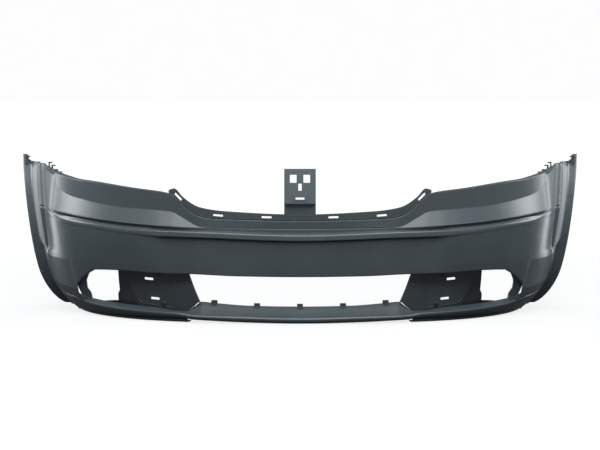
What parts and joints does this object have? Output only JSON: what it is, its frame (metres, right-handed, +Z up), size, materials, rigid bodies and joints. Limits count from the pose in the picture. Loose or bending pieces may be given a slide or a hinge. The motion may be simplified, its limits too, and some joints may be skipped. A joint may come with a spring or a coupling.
{
  "type": "front bumper cover",
  "caption": "Front bumper cover with a wide lower grille opening, fog lamp pockets, an upper mounting strip and wheel-arch flares.",
  "frame": {"origin": "on the ground line of the lower lip, midway across the cover and midway from nose to wing tips", "axes": "+X towards the right wing seen from the front, +Y from the nose back to the wing tips, +Z up"},
  "size_m": [1.815, 0.5368, 0.4837],
  "materials": {
    "primed_skin": "satin",
    "black_plastic": "satin",
    "clip_plastic": "satin",
    "steel": "satin"
  },
  "bodies": {
    "root": {"fascia_shell": "primed_skin", "upper_mounting_strip": "primed_skin", "centre_support_bracket": "primed_skin", "pocket_panel_left": "black_plastic", "pocket_panel_right": "black_plastic", "fog_lamp_carrier_left": "black_plastic", "fog_lamp_carrier_right": "black_plastic", "lower_valance_left": "black_plastic", "lower_valance_right": "black_plastic", "wheel_arch_flare_left": "primed_skin", "wheel_arch_flare_right": "primed_skin", "side_bracket_left": "black_plastic", "side_bracket_right": "black_plastic", "pocket_pin_left_1": "clip_plastic", "pocket_pin_left_2": "clip_plastic", "pocket_pin_right_1": "clip_plastic", "pocket_pin_right_2": "clip_plastic", "arch_pin_left_1": "clip_plastic", "arch_pin_left_2": "clip_plastic", "arch_pin_left_3": "clip_plastic", "arch_pin_right_1": "clip_plastic", "arch_pin_right_2": "clip_plastic", "arch_pin_right_3": "clip_plastic", "wing_screw_left_1": "steel", "wing_screw_left_2": "steel", "wing_screw_right_1": "steel", "wing_screw_right_2": "steel", "grille_clip_1": "clip_plastic", "grille_clip_2": "clip_plastic", "grille_clip_3": "clip_plastic", "grille_clip_4": "clip_plastic", "grille_clip_5": "clip_plastic"}
  },
  "joints": []
}
